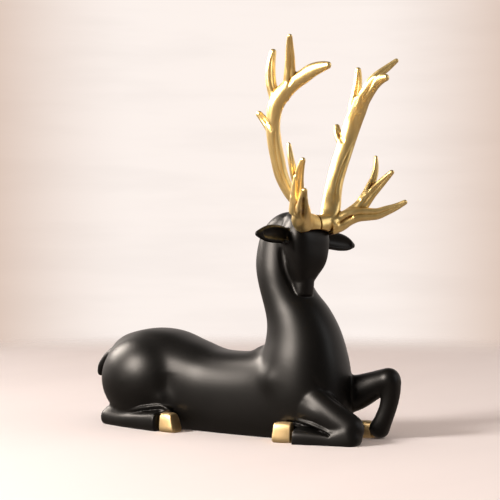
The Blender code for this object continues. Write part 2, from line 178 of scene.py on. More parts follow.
def ring(centre: np.ndarray, tangent: np.ndarray, across: np.ndarray, half: Sequence[float], sides: int,
         power: float) -> np.ndarray:
    """Lays points round one section.

    Args:
        centre: The section's middle.
        tangent: The direction that the section faces.
        across: Roughly the direction of its width.
        half: Its half width and half height.
        sides: How many points it has.
        power: 2 for an ellipse, and more for a squarer section.

    Returns:
        The section's points.
    """
    across = across - (across @ tangent) * tangent
    across = across / np.linalg.norm(across)
    top = np.cross(tangent, across)
    angles = np.linspace(0.0, 2 * math.pi, sides, endpoint=False)
    c, s = np.cos(angles), np.sin(angles)
    x = np.sign(c) * np.abs(c) ** (2 / power) * half[0]
    y = np.sign(s) * np.abs(s) ** (2 / power) * half[1]
    return centre + x[:, None] * across + y[:, None] * top


def loft(rows: Stations, across: Iterable[float], sides: int = 32, steps: int = 6, power: float = 2.0,
         caps: tuple[float, float] = (1.0, 1.0), cap_rings: int = 6) -> Shell:
    """Lofts a closed skin through sections.

    Args:
        rows: Sections of x, y, z, half width and half height.
        across: Roughly the direction of every section's width.
        sides: How many points a section has.
        steps: How many steps each span has.
        power: How square the sections are.
        caps: How round each end is, as a share of its smaller half size.
        cap_rings: How many steps a rounded end has.

    Returns:
        The skin.
    """
    drawn = smooth_rows(rows, steps)
    places = drawn[:, :3]
    tangents = np.gradient(places, axis=0)
    tangents = tangents / np.linalg.norm(tangents, axis=1)[:, None]
    wide = np.array(list(across), float)
    rings = [ring(row[:3], tangent, wide, row[3:5], sides, power) for row, tangent in zip(drawn, tangents)]
    ends = []
    for end, cap in ((0, caps[0]), (-1, caps[1])):
        row, outward = drawn[end], tangents[end] * (-1 if end == 0 else 1)
        reach = cap * min(row[3], row[4])
        for k in range(1, cap_rings):
            angle = math.pi / 2 * k / cap_rings
            centre = row[:3] + outward * reach * math.sin(angle)
            capped = ring(centre, tangents[end], wide, row[3:5] * math.cos(angle), sides, power)
            rings.insert(0 if end == 0 else len(rings), capped)
        ends.append(row[:3] + outward * reach)
    return Shell(ends[0], np.array(rings), ends[1])


@dataclass(frozen=True)
class Form:
    """A form of the casting: its rows, how square it is, how round its ends are, and its number of sides."""

    rows: Stations
    power: float = 2.0
    caps: tuple[float, float] = (1.0, 1.0)
    sides: int = 32

    def shell(self, side: Side = Side.RIGHT) -> Shell:
        """The form's skin where its rows are, or mirrored to the left."""
        rows = [(x, -y * side.value, *rest) for x, y, *rest in self.rows]
        return loft(rows, LEFT, self.sides, power=self.power, caps=self.caps)

    def head_shell(self, across: np.ndarray, side: Side = Side.LEFT, tilt: float = 0.0) -> Shell:
        """Builds the skin of a form whose rows stand in the head's frame.

        Args:
            across: Roughly the direction of every section's width.
            side: The side that "out" points to.
            tilt: How far the form drops to each millimetre that it goes left.

        Returns:
            The skin.
        """
        rows = [(forward, out, up - side.value * tilt * out, *half) for forward, out, up, *half in self.rows]
        return loft(HEAD.stations(rows, side), across, self.sides, power=self.power, caps=self.caps)

    def cuff(self, taper: float = 0.9) -> Form:
        """The crisp rim that a leg ends in, over the last span of its rows."""
        (*start, width, height), end = self.rows[-2:]
        return Form(((*start, taper * width, taper * height), end), self.power, (0.1, 0.1), 48)


class Clay:
    """Mesh tools for fusing, softening, cutting and pressing shells."""

    SMOOTHING = 0.5
    LEVELS = 26
    TURNS = 48

    @staticmethod
    def object(name: str, data: bpy.types.ID) -> bpy.types.Object:
        """Puts a mesh, a light or a camera into the scene as an object of this name."""
        obj = bpy.data.objects.new(name, data)
        bpy.context.scene.collection.objects.link(obj)
        return obj

    @staticmethod
    def from_shells(name: str, shells: Sequence[Shell]) -> bpy.types.Object:
        """Builds closed skins.

        Args:
            name: The object's name.
            shells: The skins that it holds.

        Returns:
            An object in metres that holds every skin, its faces pointing outwards.
        """
        points: list[np.ndarray] = []
        faces: list[tuple[int, ...]] = []
        count = 0
        for shell in shells:
            rows, sides = shell.rings.shape[:2]
            points += [shell.first[None], shell.last[None], shell.rings.reshape(-1, 3)]
            start, end, base = count, count + 1, count + 2
            for k in range(sides):
                j = (k + 1) % sides
                faces.append((start, base + j, base + k))
                top = base + (rows - 1) * sides
                faces.append((end, top + k, top + j))
                for row in range(rows - 1):
                    low, high = base + row * sides, base + (row + 1) * sides
                    faces.append((low + k, low + j, high + j, high + k))
            count += 2 + rows * sides
        mesh = bpy.data.meshes.new(name)
        mesh.from_pydata(PLACING.metres(np.concatenate(points)).tolist(), [], faces)
        return Clay.object(name, mesh)

    @staticmethod
    def ball(name: str, centre: Sequence[float], half: Sequence[float]) -> bpy.types.Object:
        """Builds an ellipsoid.

        Args:
            name: The object's name.
            centre: Its middle, in the forms' millimetres.
            half: Its three half sizes.

        Returns:
            The ellipsoid's object.
        """
        levels = np.linspace(-1.0, 1.0, Clay.LEVELS)[1:-1] * math.pi / 2
        turns = np.linspace(0.0, 2 * math.pi, Clay.TURNS, endpoint=False)
        rings = np.empty((len(levels), len(turns), 3))
        rings[..., 0] = np.cos(levels)[:, None] * np.cos(turns)
        rings[..., 1] = np.cos(levels)[:, None] * np.sin(turns)
        rings[..., 2] = np.sin(levels)[:, None]
        place, size = np.array(centre), np.array(half)
        pole = np.array((0.0, 0.0, half[2]))
        return Clay.from_shells(name, [Shell(place - pole, place + rings * size, place + pole)])

    @staticmethod
    def block(name: str, low: Sequence[float], high: Sequence[float], head: bool = False,
              side: Side = Side.LEFT) -> bpy.types.Object:
        """Builds a box.

        Args:
            name: The object's name.
            low: Its low corner, in the forms' millimetres.
            high: Its high corner.
            head: Whether its corners stand in the head's frame instead.
            side: The side that the head's frame counts outwards to.

        Returns:
            The box's object.
        """
        corners = [(x, y, z) for x in (low[0], high[0]) for y in (low[1], high[1]) for z in (low[2], high[2])]
        faces = [(0, 1, 3, 2), (4, 6, 7, 5), (0, 4, 5, 1), (2, 3, 7, 6), (0, 2, 6, 4), (1, 5, 7, 3)]
        if head:
            corners = HEAD.stations(corners, side)
        if head and side is Side.RIGHT:
            faces = [face[::-1] for face in faces]
        mesh = bpy.data.meshes.new(name)
        mesh.from_pydata(PLACING.metres(np.array(corners)).tolist(), [], faces)
        return Clay.object(name, mesh)

    @staticmethod
    def join(name: str, objects: Sequence[bpy.types.Object]) -> bpy.types.Object:
        """Joins objects' meshes.

        Args:
            name: The new object's name.
            objects: The objects, which are removed.

        Returns:
            One object that holds all their faces.
        """
        points, faces, count = [], [], 0
        for obj in objects:
            points.append(Clay.places(obj))
            faces += [tuple(v + count for v in polygon.vertices) for polygon in obj.data.polygons]
            count += len(obj.data.vertices)
            bpy.data.objects.remove(obj)
        mesh = bpy.data.meshes.new(name)
        mesh.from_pydata(np.concatenate(points).tolist(), [], faces)
        return Clay.object(name, mesh)

    @staticmethod
    def bake(obj: bpy.types.Object) -> bpy.types.Object:
        """Applies the object's modifiers and hands the object back."""
        bpy.context.view_layer.update()
        evaluated = obj.evaluated_get(bpy.context.evaluated_depsgraph_get())
        mesh = bpy.data.meshes.new_from_object(evaluated)
        obj.modifiers.clear()
        obj.data = mesh
        return obj

    @staticmethod
    def melt(obj: bpy.types.Object, voxel: float, spread: float) -> bpy.types.Object:
        """Fuses an object's shells into one skin.

        Args:
            obj: The object.
            voxel: The size of the new faces, in millimetres.
            spread: How far edges and joins are softened, in millimetres.

        Returns:
            The same object.
        """
        remesh = obj.modifiers.new("fuse", "REMESH")
        remesh.mode = "VOXEL"
        remesh.voxel_size = voxel * PLACING.millimetre
        smooth = obj.modifiers.new("soften", "SMOOTH")
        smooth.factor = Clay.SMOOTHING
        smooth.iterations = max(1, round(2 * spread**2 / (Clay.SMOOTHING * voxel**2)))
        return Clay.bake(obj)

    @staticmethod
    def cut(obj: bpy.types.Object, cutter: bpy.types.Object) -> bpy.types.Object:
        """Takes one object's volume from another.

        Args:
            obj: The object that is cut.
            cutter: The volume to take away, whose object is removed.

        Returns:
            The cut object.
        """
        boolean = obj.modifiers.new("cut", "BOOLEAN")
        boolean.operation = "DIFFERENCE"
        boolean.object = cutter
        boolean.solver = "EXACT"
        Clay.bake(obj)
        bpy.data.objects.remove(cutter)
        return obj

    @staticmethod
    def read(items: Sequence[object], name: str, width: int, kind: type = np.float32) -> np.ndarray:
        """A row of so many numbers for each of a mesh's vertices or edges."""
        found = np.empty(len(items) * width, kind)
        items.foreach_get(name, found)
        return found.reshape(-1, width)

    @staticmethod
    def places(obj: bpy.types.Object) -> np.ndarray:
        """The object's vertices, in metres."""
        return Clay.read(obj.data.vertices, "co", 3).astype(float)

    @staticmethod
    def normals(obj: bpy.types.Object) -> np.ndarray:
        """The outward direction at each of the object's vertices."""
        return Clay.read(obj.data.vertex_normals, "vector", 3).astype(float)

    @staticmethod
    def move(obj: bpy.types.Object, places: np.ndarray) -> None:
        """Moves the object's vertices to these places, in metres."""
        obj.data.vertices.foreach_set("co", places.astype(np.float32).ravel())
        obj.data.update()

    @staticmethod
    def hollowness(obj: bpy.types.Object, rounds: int) -> np.ndarray:
        """Measures how hollow the surface is.

        Args:
            obj: The object.
            rounds: How far the surface is averaged before it is compared with itself.

        Returns:
            For each vertex the millimetres that it lies below the averaged surface, negative on a ridge.
        """
        a, b = Clay.read(obj.data.edges, "vertices", 2, np.int32).T
        places = Clay.places(obj)
        count = len(places)
        shares = np.maximum(np.bincount(a, minlength=count) + np.bincount(b, minlength=count), 1)
        soft = places.copy()
        for _ in range(rounds):
            for axis in range(3):
                column = soft[:, axis]
                total = np.bincount(a, weights=column[b], minlength=count)
                total += np.bincount(b, weights=column[a], minlength=count)
                soft[:, axis] = total / shares
        return ((soft - places) * Clay.normals(obj)).sum(axis=1) / PLACING.millimetre

    @staticmethod
    def mark(obj: bpy.types.Object, name: str, values: np.ndarray) -> None:
        """Stores one number for each vertex as an attribute of this name."""
        attribute = obj.data.attributes.new(name, "FLOAT", "POINT")
        attribute.data.foreach_set("value", values.astype(np.float32))


@dataclass(frozen=True)
class Groove:
    """A line pressed into the surface, where its path seems to lie on it in the photograph.

    Its width to each side and its depth are in millimetres. It fades at both ends, and a soft one has round
    shoulders.
    """

    path: Stations
    width: float
    depth: float
    soft: bool = True
    sharpness: float = 1.5
    fade: float = 0.5
    steps: int = 40
    reach: float = 0.1

    def press(self, obj: bpy.types.Object) -> None:
        """Presses the line into the object's surface.

        Args:
            obj: The object, whose vertices move along their normals.
        """
        aim = Vector(VIEW).normalized()
        tree = BVHTree.FromObject(obj, bpy.context.evaluated_depsgraph_get())
        line = smooth_rows(self.path, self.steps)
        hits = []
        for place in PLACING.metres(line[:, :3]):
            hit = tree.ray_cast(Vector(place) - aim * self.reach, aim)[0]
            if hit is not None:
                hits.append(hit)
        if not hits:
            return
        track = np.array(hits)
        ease = np.sin(np.linspace(0.0, math.pi, len(track))) ** self.fade
        places = Clay.places(obj)
        width = self.width * PLACING.millimetre
        low, high = track.min(axis=0) - 2 * width, track.max(axis=0) + 2 * width
        near = np.flatnonzero(((places > low) & (places < high)).all(axis=1))
        gaps = np.linalg.norm(places[near, None] - track[None], axis=2)
        fall = np.clip(1 - gaps.min(axis=1) / width, 0, 1) ** (1.0 if self.soft else self.sharpness)
        fall *= ease[gaps.argmin(axis=1)]
        if self.soft:
            fall = fall * fall * (3 - 2 * fall)
        places[near] -= Clay.normals(obj)[near] * (fall * self.depth * PLACING.millimetre)[:, None]
        Clay.move(obj, places)


class Value:
    """A number that a shader's node gives, on which plain expressions work."""

    def __init__(self, nodes: Nodes, socket: bpy.types.NodeSocket) -> None:
        """Wraps a socket.

        Args:
            nodes: The tree that the socket belongs to.
            socket: The node's output.
        """
        self.nodes = nodes
        self.socket = socket

    def _math(self, operation: str, *terms: Value | float) -> Value:
        """Adds one Math node on these terms."""
        return self.nodes.number("ShaderNodeMath", {"operation": operation}, *terms)

    def __add__(self, other: Value | float) -> Value:
        """The sum."""
        return self._math("ADD", self, other)

    __radd__ = __add__

    def __sub__(self, other: Value | float) -> Value:
        """The difference."""
        return self._math("SUBTRACT", self, other)

    def __rsub__(self, other: Value | float) -> Value:
        """The difference, taken from the other."""
        return self._math("SUBTRACT", other, self)

    def __mul__(self, other: Value | float) -> Value:
        """The product."""
        return self._math("MULTIPLY", self, other)

    def between(self, low: float, high: float) -> Value:
        """0 below low, 1 above high, and smooth between."""
        settings = {"interpolation_type": "SMOOTHSTEP"}
        return self.nodes.number("ShaderNodeMapRange", settings, self, low, high)


class Nodes:
    """A node tree whose nodes are added by expressions."""

    def __init__(self, tree: bpy.types.NodeTree) -> None:
        """Takes up a tree.

        Args:
            tree: The tree that nodes are added to.
        """
        self.tree = tree

    def node(self, kind: str, settings: dict[str, object], *inputs: object,
             **named: object) -> bpy.types.Node:
        """Adds a node.

        Args:
            kind: The node's type.
            settings: Its own settings, with a ramp's stops under "stops".
            *inputs: Values or links of its sockets in order, None leaving one as it is.
            **named: Values or links of sockets by name, with _ for a space.

        Returns:
            The node.
        """
        made = self.tree.nodes.new(kind)
        for key, setting in settings.items():
            if key == "stops":
                ramp = made.color_ramp
                for index, (place, colour) in enumerate(setting):
                    stop = ramp.elements[index] if index < 2 else ramp.elements.new(place)
                    stop.position = place
                    stop.color = (*colour, 1.0)
            else:
                setattr(made, key, setting)
        pairs = [(made.inputs[i], value) for i, value in enumerate(inputs) if value is not None]
        pairs += [(made.inputs[key.replace("_", " ")], value) for key, value in named.items()]
        for socket, value in pairs:
            self.feed(socket, value)
        return made

    def feed(self, socket: bpy.types.NodeSocket, value: object) -> None:
        """Sets a socket to a value, or links it."""
        if isinstance(value, Value):
            self.tree.links.new(value.socket, socket)
        elif isinstance(value, bpy.types.NodeSocket):
            self.tree.links.new(value, socket)
        else:
            socket.default_value = value

    def number(self, kind: str, settings: dict[str, object], *inputs: object, **named: object) -> Value:
        """Adds a node and wraps its first output."""
        return Value(self, self.node(kind, settings, *inputs, **named).outputs[0])

    def blend(self, share: object, low: object, high: object) -> bpy.types.NodeSocket:
        """The mix of two colours, low at 0 and high at 1."""
        made = self.node("ShaderNodeMix", {"data_type": "RGBA"})
        self.feed(made.inputs["Factor"], share)
        for socket, value in ((made.inputs[6], low), (made.inputs[7], high)):
            self.feed(socket, (*value, 1.0) if isinstance(value, tuple) else value)
        return made.outputs[2]


class Paint(Nodes):
    """A material on a Principled shader."""

    def __init__(self, name: str) -> None:
        """Starts a material.

        Args:
            name: The material's name.
        """
        self.material = bpy.data.materials.new(name)
        self.material.use_nodes = True
        super().__init__(self.material.node_tree)
        self.shader = self.tree.nodes["Principled BSDF"]

    def place(self, stretch: Place = (1.0, 1.0, 1.0)) -> bpy.types.NodeSocket:
        """The Object coordinate, scaled along each axis."""
        here = self.node("ShaderNodeTexCoord", {}).outputs["Object"]
        return self.node("ShaderNodeMapping", {}, Vector=here, Scale=stretch).outputs[0]

    def noise(self, scale: float, detail: float = 3.0, stretch: Place = (1.0, 1.0, 1.0),
              roughness: float = 0.5, distortion: float = 0.0) -> Value:
        """Adds a noise.

        Args:
            scale: Its patches to a metre.
            detail: How many finer layers it has.
            stretch: How it is scaled along each axis.
            roughness: How strong the finer layers are.
            distortion: How far it swirls.

        Returns:
            The noise, from 0 to 1.
        """
        place = self.place(stretch)
        return self.number("ShaderNodeTexNoise", {}, Vector=place, Scale=scale, Detail=detail,
                           Roughness=roughness, Distortion=distortion)

    def marked(self, name: str) -> Value:
        """The number that a mesh stores under this name."""
        made = self.node("ShaderNodeAttribute", {"attribute_name": name})
        return Value(self, made.outputs["Fac"])

    def ramp(self, value: Value, stops: Sequence[tuple[float, Colour]]) -> bpy.types.NodeSocket:
        """The colour that a number picks from these stops."""
        return self.node("ShaderNodeValToRGB", {"stops": stops}, value).outputs["Color"]

    def dress(self, **sockets: object) -> None:
        """Feeds the shader's sockets by name, with _ for a space."""
        for key, value in sockets.items():
            self.feed(self.shader.inputs[key.replace("_", " ")], value)

    def bump(self, height: Value, distance: float, strength: float) -> None:
        """Raises the surface by a height of 0 to 1 times a distance in metres."""
        made = self.node("ShaderNodeBump", {}, Height=height, Distance=distance, Strength=strength)
        self.tree.links.new(made.outputs[0], self.shader.inputs["Normal"])


@dataclass(frozen=True)
class SatinBlack:
    """Black paint with a soft sheen, a touch warmer where it is worn."""

    deep: Colour = (0.0026, 0.0020, 0.0015)
    worn: Colour = (0.0040, 0.0032, 0.0025)
    roughness: float = 0.40
    roughness_swing: float = 0.06
    reflection: float = 0.22
    grain: float = 0.000020

    def material(self) -> bpy.types.Material:
        """Builds the material."""
        paint = Paint("satin_black")
        cloud = paint.noise(28.0, 4.0)
        grain = paint.noise(2600.0, 2.0)
        swing = (cloud - 0.5) * self.roughness_swing
        paint.dress(
            Base_Color=paint.blend(cloud.between(0.35, 0.7), self.deep, self.worn),
            Roughness=self.roughness + swing,
            Specular_IOR_Level=self.reflection,
        )
        paint.bump(grain, self.grain, 0.5)
        return paint.material


@dataclass(frozen=True)
class AntiqueGold:
    """Satin gold paint rubbed over brown: brown stays in the hollows and in fine streaks, and on the antlers
    the same brown is painted shade at the seam and along the brow piece's lower edge.
    """

    name: str
    hollow: Colour = (0.190, 0.080, 0.018)
    body: Colour = (0.700, 0.440, 0.130)
    ridge: Colour = (0.940, 0.720, 0.320)
    roughness: float = 0.36
    wear: float = 0.55
    hollows: float = 1.7
    streaks: float = 0.46
    clouds: float = 0.16
    roughness_swing: float = 0.16
    grain: float = 0.000030

    def material(self) -> bpy.types.Material:
        """Builds the material."""
        paint = Paint(self.name)
        # On the antlers this mark also holds painted shade at the seam and along the brow piece's lower edge
        hollow = paint.marked("hollow")
        streak = paint.noise(170.0, 5.0, stretch=(1.0, 1.0, 0.16), roughness=0.6, distortion=0.6)
        cloud = paint.noise(60.0)
        worn = self.wear - hollow * self.hollows + (streak - 0.5) * self.streaks + (cloud - 0.5) * self.clouds
        tone = paint.ramp(worn, (
            (0.0, self.hollow),
            (1.0, tuple(min(1.0, c * 1.1) for c in self.ridge)),
            (0.30, self.body),
            (0.62, self.ridge),
        ))
        grain = paint.noise(900.0, stretch=(1.0, 1.0, 0.35))
        roughness = self.roughness + (streak - 0.5) * self.roughness_swing
        paint.dress(Base_Color=tone, Metallic=0.9, Roughness=roughness)
        paint.bump(grain + streak * 1.5, self.grain, 0.6)
        return paint.material


HOOF_GOLD = AntiqueGold("hoof_gold", body=(0.38, 0.24, 0.08), ridge=(0.50, 0.37, 0.19), roughness=0.5)


@dataclass
class Casting:
    """The black casting: trunk, neck, head, ears, four folded legs and tail.

    A row is a place, a half width and a half height. The barrel, neck, head and muzzle leave out the sideways
    place, and the head, muzzle and ears stand in the head's frame. The hind legs' rows are the right one's.
    """

    mass_voxel: float = 1.3
    limb_voxel: float = 0.8
    skin_voxel: float = 0.5
    mass_spread: float = 4.6
    limb_spread: float = 1.3
    skin_spread: float = 0.7
    most_triangles: int = 190_000
    barrel: Form = Form(on_middle((
        (-104.5, 31.0, 11.0, 14.5),
        (-99.5, 31.8, 16.4, 17.8),
        (-90.5, 32.6, 24.2, 24.6),
        (-80.0, 31.4, 30.2, 29.6),
        (-66.0, 29.0, 32.5, 31.8),
        (-48.0, 25.4, 29.0, 30.2),
        (-28.0, 21.2, 25.8, 28.8),
        (-8.0, 19.8, 25.4, 29.0),
        (12.0, 20.6, 25.6, 29.7),
        (32.0, 23.2, 26.2, 29.3),
        (48.0, 25.0, 24.0, 25.0),
        (58.0, 26.0, 17.0, 18.0),
    )), 2.6, (0.45, 0.45), 56)
    neck: Form = Form(on_middle((
        (40.0, 8.0, 25.4, 27.0),
        (40.0, 28.0, 27.8, 28.0),
        (39.6, 48.0, 25.8, 25.5),
        (38.2, 60.0, 22.8, 22.8),
        (35.2, 70.0, 20.9, 19.4),
        (30.7, 79.0, 19.4, 15.9),
        (26.8, 87.5, 18.6, 14.5),
        (24.2, 96.0, 18.0, 14.6),
        (22.8, 104.0, 16.8, 15.0),
        (22.6, 112.0, 15.2, 14.2),
        (23.4, 119.0, 13.8, 13.0),
        (26.4, 124.6, 12.6, 10.9),
        (32.0, 128.5, 11.5, 8.5),
    )), 2.2, (0.3, 0.6), 56)
    withers: tuple[Place, Place] = ((15.0, 0.0, 42.0), (14.5, 14.0, 12.8))
    haunch: tuple[Place, Place] = ((-70.0, -16.5, 29.5), (30.0, 22.8, 27.6))
    shoulder: tuple[Place, Place] = ((32.0, -9.0, 34.0), (17.0, 19.2, 17.0))
    thigh: Form = Form((
        (-74.0, -14.0, 29.0, 22.0, 21.0),
        (-62.0, -16.5, 27.0, 19.0, 17.0),
        (-52.0, -20.5, 22.5, 13.8, 11.5),
        (-45.5, -24.5, 18.5, 9.2, 7.0),
    ), caps=(0.3, 0.8))
    head: Form = Form(on_middle((
        (14.2, 19.4, 9.4, 5.6),
        (18.4, 15.6, 13.4, 9.4),
        (22.1, 10.0, 15.5, 10.4),
        (23.8, 3.0, 14.8, 9.2),
        (24.1, -3.5, 13.1, 8.4),
        (22.6, -9.5, 10.1, 7.4),
        (21.4, -15.0, 7.2, 6.2),
    )), 3.2, (0.9, 0.6), 56)
    muzzle: Form = Form(on_middle((
        (21.6, -9.0, 7.6, 7.0),
        (21.4, -14.5, 6.6, 7.2),
        (21.6, -20.0, 6.5, 6.8),
        (21.8, -24.0, 6.3, 6.2),
    )), 2.5, (0.3, 0.4), 48)
    ear: Form = Form((
        (20.0, 11.0, 8.9, 4.2, 3.6),
        (21.0, 17.0, 9.6, 5.0, 3.8),
        (22.5, 24.0, 9.9, 5.5, 3.6),
        (23.5, 31.0, 9.6, 5.4, 3.0),
        (24.0, 38.0, 8.9, 3.9, 2.2),
        (23.8, 43.0, 8.5, 1.6, 1.1),
    ), caps=(0.5, 0.9))
    ear_hollow: Form = Form((
        (25.0, 15.5, 9.6, 3.0, 3.0),
        (26.2, 23.0, 9.9, 4.2, 3.2),
        (27.0, 31.0, 9.6, 4.1, 2.8),
        (26.6, 37.5, 8.9, 2.6, 2.0),
    ), caps=(0.9, 0.9))
    ear_tilt: float = 0.032
    ear_knob: tuple[float, float, float, float] = (26.0, 19.9, 6.4, 1.7)
    near_forearm: Form = Form((
        (30.0, -10.5, 32.0, 9.5, 11.5),
        (46.0, -14.4, 26.7, 9.2, 11.6),
        (60.0, -17.2, 20.4, 9.2, 9.8),
        (71.0, -17.5, 14.2, 9.0, 9.0),
        (79.7, -17.0, 9.0, 8.8, 8.8),
    ))
    near_elbow: Form = Form((
        (40.0, -12.0, 23.0, 7.6, 8.6),
        (50.0, -17.0, 20.2, 8.0, 8.8),
        (60.0, -19.0, 17.4, 8.2, 7.4),
        (68.0, -18.4, 13.6, 8.0, 6.1),
        (75.8, -18.0, 9.4, 8.0, 4.2),
    ), 2.7)
    hind_lip: Form = Form((
        (-76.0, -30.6, 9.8, 1.2, 1.2),
        (-66.0, -33.2, 11.7, 1.2, 1.2),
        (-55.5, -34.0, 13.9, 1.1, 1.1),
        (-48.0, -33.2, 15.2, 1.0, 1.0),
        (-44.0, -32.6, 15.4, 1.0, 1.0),
        (-40.4, -32.2, 13.9, 1.0, 1.0),
        (-37.8, -31.4, 11.8, 0.9, 0.9),
    ), sides=16)
    near_cannon: Form = Form((
        (81.2, -18.6, 5.2, 8.0, 7.4),
        (70.0, -21.0, 2.2, 7.8, 6.0),
        (58.0, -25.0, 2.0, 7.8, 6.3),
        (53.0, -26.6, 2.2, 7.9, 6.4),
        (49.4, -27.6, 2.4, 8.0, 6.4),
    ), 3.3, (0.9, 0.12))
    far_forearm: Form = Form((
        (36.0, 12.0, 20.8, 10.0, 11.2),
        (52.0, 14.5, 22.5, 10.0, 11.8),
        (66.0, 16.0, 26.1, 8.6, 10.8),
        (79.6, 16.0, 31.8, 7.8, 8.3),
        (88.1, 15.5, 35.0, 7.7, 7.5),
    ))
    far_cannon: Form = Form((
        (88.7, 15.5, 33.5, 7.2, 7.0),
        (89.5, 15.3, 26.0, 5.9, 5.5),
        (88.1, 15.0, 18.5, 5.5, 5.0),
        (85.4, 14.7, 11.5, 5.7, 5.2),
        (82.5, 14.5, 5.4, 6.2, 6.0),
    ), 2.5, (0.9, 0.9))
    hind_shank: Form = Form((
        (-89.5, -23.0, 6.6, 6.4, 6.0),
        (-77.0, -26.0, 8.8, 6.4, 5.3),
        (-62.0, -28.0, 10.8, 5.4, 4.2),
        (-50.0, -28.6, 12.4, 5.2, 3.6),
        (-41.5, -28.2, 12.0, 4.8, 3.0),
    ), 2.3, (1.0, 0.9))
    hind_cannon: Form = Form((
        (-92.0, -24.0, 4.4, 6.2, 5.4),
        (-78.0, -27.4, 4.1, 6.4, 5.1),
        (-60.0, -30.6, 4.8, 6.6, 5.9),
        (-50.0, -32.0, 5.3, 7.0, 6.3),
        (-45.6, -32.4, 5.5, 7.2, 6.5),
    ), 2.6, (1.0, 0.25))
    tail: Form = Form((
        (-100.0, 0.0, 45.0, 4.6, 4.0),
        (-108.5, 0.0, 42.6, 4.6, 3.4),
        (-113.6, 0.0, 38.0, 4.6, 3.1),
        (-117.2, 0.0, 33.0, 4.3, 2.8),
        (-118.5, 0.0, 28.8, 3.2, 2.2),
    ))
    near_fore_fold: Form = Form((
        (71.5, -27.0, 6.1, 4.0, 0.8),
        (64.7, -30.0, 7.5, 7.0, 0.9),
        (55.8, -31.5, 9.5, 9.0, 1.4),
        (49.5, -33.0, 10.6, 10.5, 1.8),
        (44.0, -33.5, 11.2, 10.0, 1.9),
    ))
    hind_fold: Form = Form((
        (-68.0, -36.5, 10.5, 4.0, 0.8),
        (-55.0, -40.5, 12.1, 8.2, 1.4),
        (-44.3, -41.0, 13.4, 8.8, 1.9),
        (-38.0, -40.0, 13.3, 7.6, 1.7),
    ))
    haunch_valley: Groove = Groove((
        (-40.8, -32.0, 36.0),
        (-40.8, -33.0, 28.0),
        (-41.2, -33.0, 22.4),
        (-41.9, -32.0, 17.0),
    ), 9.0, 0.8)
    forearm_line: Groove = Groove((
        (57.5, -22.0, 37.9),
        (68.5, -20.0, 27.3),
        (80.9, -16.0, 19.0),
    ), 3.0, 0.6, soft=False)
    cheek_line: Groove = Groove((
        (33.0, -17.0, 114.0),
        (33.4, -17.0, 109.8),
        (34.0, -15.0, 101.1),
        (35.5, -10.0, 91.7),
        (36.9, -6.0, 84.9),
    ), 2.8, 0.9)
    lip_radius: float = 1.1
    lip_aside: float = 0.9
    lip_below: float = 0.84

    def masses(self) -> bpy.types.Object:
        """The trunk, the neck, the haunches and the shoulders, melted softly into one another."""
        thighs = [self.thigh.shell(side) for side in Side]
        rounds = []
        for (x, y, z), half in (self.haunch, self.shoulder):
            rounds += [Clay.ball("round", (x, y * side.value, z), half) for side in Side]
        rounds.append(Clay.ball("withers", *self.withers))
        trunk = Clay.from_shells("trunk", [self.barrel.shell(), self.neck.shell(), *thighs])
        joined = Clay.join("masses", [*rounds, trunk])
        return Clay.melt(joined, self.mass_voxel, self.mass_spread)

    def limbs(self) -> bpy.types.Object:
        """The four folded legs and the tail."""
        near = (self.near_forearm, self.near_elbow, self.near_cannon)
        shells = [form.shell() for form in (*near, self.far_forearm, self.far_cannon, self.tail)]
        shells += [form.shell(side) for form in (self.hind_shank, self.hind_cannon) for side in Side]
        return Clay.from_shells("limbs", shells)

    def cuffs(self) -> bpy.types.Object:
        """The crisp rims in which three of the legs end before their hooves."""
        hind = [self.hind_cannon.cuff().shell(side) for side in Side]
        cuffs = Clay.from_shells("cuffs", [self.near_cannon.cuff().shell(), *hind])
        return Clay.cut(cuffs, self.folds())

    def lips(self) -> bpy.types.Object:
        """The thin rounded edges that the upper halves of the folded legs end in."""
        corner = [
            (x, y - self.lip_aside * width, z - self.lip_below * height, self.lip_radius, self.lip_radius)
            for x, y, z, width, height in self.near_elbow.rows
        ]
        hind = [self.hind_lip.shell(side) for side in Side]
        return Clay.from_shells("lips", [Form(corner, sides=16).shell(), *hind])

    def skull(self) -> bpy.types.Object:
        """The bowed head, without its ears and muzzle."""
        return Clay.from_shells("skull", [self.head.head_shell(HEAD.axes()[1])])

    def ears(self) -> bpy.types.Object:
        """Two leaf-shaped ears, hollowed in front, and the small knob below the right one's root."""
        up = HEAD.axes()[2]
        ears, hollows = (
            Clay.from_shells("ears", [form.head_shell(up, side, self.ear_tilt) for side in Side])
            for form in (self.ear, self.ear_hollow)
        )
        ears = Clay.cut(ears, hollows)
        *place, radius = self.ear_knob
        knob = Clay.ball("knob", HEAD.stations([place], Side.RIGHT)[0], (radius,) * 3)
        return Clay.join("ears", [ears, knob])

    def nose(self) -> bpy.types.Object:
        """The muzzle, which stands proud of the throat."""
        return Clay.from_shells("muzzle", [self.muzzle.head_shell(HEAD.axes()[1])])

    def ground(self) -> bpy.types.Object:
        """A slab below the ground, which cuts the underside flat."""
        return Clay.block("ground", (-FAR, -FAR, -FAR), (FAR, FAR, 0.0))

    def folds(self) -> bpy.types.Object:
        """The narrow wedges of air between each folded leg's two halves."""
        hind = [self.hind_fold.shell(side) for side in Side]
        return Clay.from_shells("folds", [self.near_fore_fold.shell(), *hind])

    def build(self) -> bpy.types.Object:
        """Sculpts the casting and cuts it flat where it lies on the ground.

        Returns:
            The finished piece, named body_casting.
        """
        trunk = Clay.join("trunk", [self.masses(), self.limbs(), self.skull()])
        trunk = Clay.melt(trunk, self.limb_voxel, self.limb_spread)
        trunk = Clay.cut(trunk, self.folds())
        body = Clay.join("body_casting", [trunk, self.ears(), self.nose(), self.cuffs(), self.lips()])
        body = Clay.melt(body, self.skin_voxel, self.skin_spread)
        present = sum(len(polygon.vertices) - 2 for polygon in body.data.polygons)
        thin = body.modifiers.new("thin", "DECIMATE")
        thin.ratio = min(1.0, self.most_triangles / present)
        Clay.bake(body)
        for groove in (self.haunch_valley, self.forearm_line, self.cheek_line):
            groove.press(body)
        body = Clay.cut(body, self.ground())
        body.data.shade_smooth()
        return body


